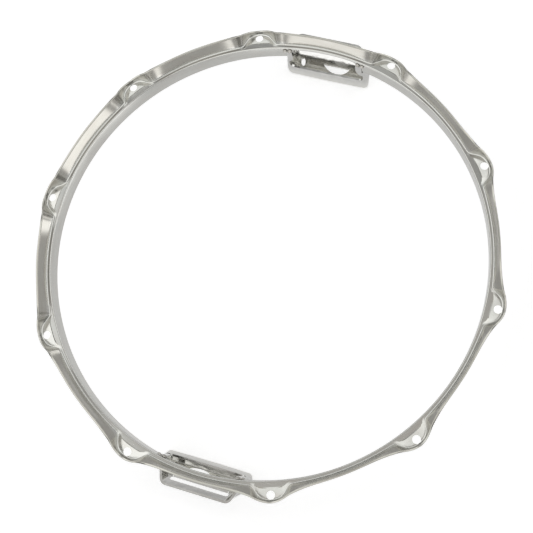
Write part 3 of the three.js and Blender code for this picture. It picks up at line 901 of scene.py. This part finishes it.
studio = {
    "floorReach": 3.0,
    "floorTone": 0.86,
    "cameraLift": 0.45,  # added for camera rays, so the floor reads white and keeps its shadow
    "mirrorLift": 0.24,  # added for mirror rays under and outside the hoop
    "openFloorBand": (160.0, 146.0),  # distances from the axis between which floorGlow takes over
    "skyTone": 0.60,
    "zenith": (0.64, 0.62, 0.595),
    "tint": (0.99, 1.0, 0.985),
    # how high each part of the room reaches, as the sine of the angle over the horizon
    "wallBand": (0.20, 0.42),
    "upperBand": (0.76, 0.86),
    "zenithBand": (0.93, 0.985),
    # tones round the compass, in turns from -X through -Y, +X and +Y
    "horizon": ((0.00, 1.4), (0.06, 1.3), (0.10, 0.28), (0.92, 0.26), (0.96, 1.2), (1.00, 1.4)),
    "walls": ((0.00, 1.35), (0.10, 1.35), (0.12, 0.45), (0.16, 0.45), (0.18, 1.35), (0.24, 1.35),
              (0.28, 0.7), (0.33, 1.1), (0.45, 1.25), (0.80, 1.25), (1.00, 1.35)),
    "upper": ((0.00, 1.3), (0.04, 1.5), (0.30, 1.5), (0.37, 0.6), (0.46, 0.42), (0.53, 0.44),
              (0.55, 0.78), (0.585, 0.36), (0.67, 0.36), (0.70, 0.54), (0.73, 0.74), (0.82, 0.80),
              (0.86, 1.3), (1.00, 1.3)),
    # light added round the compass on the floor inside the hoop, for mirror rays only
    "floorGlow": ((0.00, 0.0), (0.45, 0.0), (0.475, 1.2), (0.56, 1.2), (0.58, 0.1), (0.645, 0.1),
                  (0.66, 1.5), (0.745, 1.5), (0.76, 0.1), (1.00, 0.0)),
}


# the direction in plan, in turns
def roundTheCompass(tree, x, y):
    return maths(tree, "ADD", maths(tree, "DIVIDE", maths(tree, "ARCTAN2", y, x), 2 * math.pi), 0.5)


def rayMirrored(tree, rays):
    return maths(tree, "MAXIMUM", rays.outputs["Is Glossy Ray"], rays.outputs["Is Transmission Ray"])


def makeRamp(tree, value, stops):
    ramp = addNode(tree, "ShaderNodeValToRGB")
    while len(ramp.color_ramp.elements) < len(stops):
        ramp.color_ramp.elements.new(0.5)
    for element, (at, tone) in zip(ramp.color_ramp.elements, stops):
        element.position = at
        element.color = (*(tone * share for share in studio["tint"]), 1)
    tree.links.new(value, ramp.inputs[0])
    return ramp.outputs[0]


def makeBlend(tree, value, band, below, above):
    blend = addNode(tree, "ShaderNodeMix", {"data_type": "RGBA"})
    tree.links.new(makeShare(tree, value, band, curve="SMOOTHSTEP"), blend.inputs["Factor"])
    for label, part in (("A", below), ("B", above)):
        if isinstance(part, tuple):
            blend.inputs[label].default_value = (*part, 1)
        else:
            tree.links.new(part, blend.inputs[label])
    return blend.outputs["Result"]


def makeFloor():
    reach = studio["floorReach"]
    level = cadLow.z
    data = bpy.data.meshes.new("floor")
    corners = ((-reach, -reach), (reach, -reach), (reach, reach), (-reach, reach))
    data.from_pydata([(x, y, level) for x, y in corners], [], [(0, 1, 2, 3)])
    floor = addObject("floor", data)
    material = bpy.data.materials.new("paleFloor")
    material.use_nodes = True
    tree = material.node_tree
    tree.nodes.clear()
    output = addNode(tree, "ShaderNodeOutputMaterial")
    matt = addNode(tree, "ShaderNodeBsdfDiffuse", Color=(studio["floorTone"],) * 3 + (1,))
    glow = addNode(tree, "ShaderNodeEmission")
    rays = addNode(tree, "ShaderNodeLightPath")
    place = addNode(tree, "ShaderNodeTexCoord")
    length = addNode(tree, "ShaderNodeVectorMath", {"operation": "LENGTH"})
    tree.links.new(place.outputs["Object"], length.inputs[0])
    band = [radius * mm for radius in studio["openFloorBand"]]
    openFloor = makeShare(tree, length.outputs["Value"], band, curve="SMOOTHSTEP")
    split = addNode(tree, "ShaderNodeSeparateXYZ")
    tree.links.new(place.outputs["Object"], split.inputs[0])
    around = roundTheCompass(tree, split.outputs[0], split.outputs[1])
    patches = maths(tree, "MULTIPLY", openFloor, makeRamp(tree, around, studio["floorGlow"]))
    nearHoop = maths(tree, "MULTIPLY", maths(tree, "SUBTRACT", 1.0, openFloor), studio["mirrorLift"])
    mirrorGlow = maths(tree, "MULTIPLY", rayMirrored(tree, rays), maths(tree, "ADD", patches, nearHoop))
    cameraGlow = maths(tree, "MULTIPLY", rays.outputs["Is Camera Ray"], studio["cameraLift"])
    tree.links.new(maths(tree, "ADD", cameraGlow, mirrorGlow), glow.inputs["Strength"])
    both = addNode(tree, "ShaderNodeAddShader")
    tree.links.new(matt.outputs[0], both.inputs[0])
    tree.links.new(glow.outputs[0], both.inputs[1])
    tree.links.new(both.outputs[0], output.inputs["Surface"])
    data.materials.append(material)


# a pale room, darker near the horizon and overhead, whose walls differ in tone round the compass
def makeWorld():
    world = bpy.data.worlds.new("studio")
    bpy.context.scene.world = world
    world.use_nodes = True
    tree = world.node_tree
    tree.nodes.clear()
    output = addNode(tree, "ShaderNodeOutputWorld")
    plain = addNode(tree, "ShaderNodeBackground", Color=(1, 1, 1, 1), Strength=1.0)
    room = addNode(tree, "ShaderNodeBackground", Strength=1.0)
    soft = addNode(tree, "ShaderNodeBackground", Color=(1, 1, 1, 1), Strength=studio["skyTone"])
    place = addNode(tree, "ShaderNodeTexCoord")
    split = addNode(tree, "ShaderNodeSeparateXYZ")
    tree.links.new(place.outputs["Generated"], split.inputs[0])
    x, y, z = split.outputs
    around = roundTheCompass(tree, x, y)
    tones = {part: makeRamp(tree, around, studio[part]) for part in ("horizon", "walls", "upper")}
    tone = makeBlend(tree, z, studio["wallBand"], tones["horizon"], tones["walls"])
    tone = makeBlend(tree, z, studio["upperBand"], tone, tones["upper"])
    tone = makeBlend(tree, z, studio["zenithBand"], tone, studio["zenith"])
    tree.links.new(tone, room.inputs["Color"])
    rays = addNode(tree, "ShaderNodeLightPath")
    indoors = addNode(tree, "ShaderNodeMixShader")
    tree.links.new(rayMirrored(tree, rays), indoors.inputs[0])
    tree.links.new(soft.outputs[0], indoors.inputs[1])
    tree.links.new(room.outputs[0], indoors.inputs[2])
    either = addNode(tree, "ShaderNodeMixShader")
    tree.links.new(rays.outputs["Is Camera Ray"], either.inputs[0])
    tree.links.new(indoors.outputs[0], either.inputs[1])
    tree.links.new(plain.outputs[0], either.inputs[2])
    tree.links.new(either.outputs[0], output.inputs["Surface"])


# large and weak, so that their mirror images don't clip
softboxes = {
    "softboxLeft": {"place": (-0.4, 1.5, 1.5), "size": (3.0, 1.7), "watts": 7},
    "softboxRight": {"place": (0.9, -1.3, 1.4), "size": (2.2, 1.4), "watts": 5},
}


def makeSoftbox(name, box):
    data = bpy.data.lights.new(name, "AREA")
    data.shape = "RECTANGLE"
    data.size, data.size_y = box["size"]
    data.energy = box["watts"]
    lamp = addObject(name, data)
    lamp.location = box["place"]
    lamp.rotation_euler = (-Vector(box["place"])).to_track_quat("-Z", "Y").to_euler()


makeFloor()
makeWorld()
for name, box in softboxes.items():
    makeSoftbox(name, box)
print("studio made")

view = {
    "place": (-119.1, -142.8, 635.2),
    "aim": (-1.5, -47.3, 40.0),
    "topAzimuth": 15.67,  # the direction in plan that points up the picture
    "lens": 51.63,
    "sensor": 36.0,
    "shiftX": -0.1,
    "clipStart": 10.0,
}


def makeCamera():
    eye = Vector(view["place"]) * mm
    ahead = (Vector(view["aim"]) * mm - eye).normalized()
    turn = math.radians(view["topAzimuth"])
    side = ahead.cross(Vector((math.cos(turn), math.sin(turn), 0))).normalized()
    upward = side.cross(ahead)
    matrix = Matrix((side, upward, -ahead)).transposed().to_4x4()
    matrix.translation = eye
    data = bpy.data.cameras.new("camera")
    data.lens = view["lens"]
    data.sensor_width = view["sensor"]
    data.shift_x = view["shiftX"]
    data.clip_start = view["clipStart"] * mm
    camera = addObject("camera", data)
    camera.matrix_world = matrix
    bpy.context.scene.camera = camera


makeCamera()
bpy.context.scene.view_settings.view_transform = "Standard"
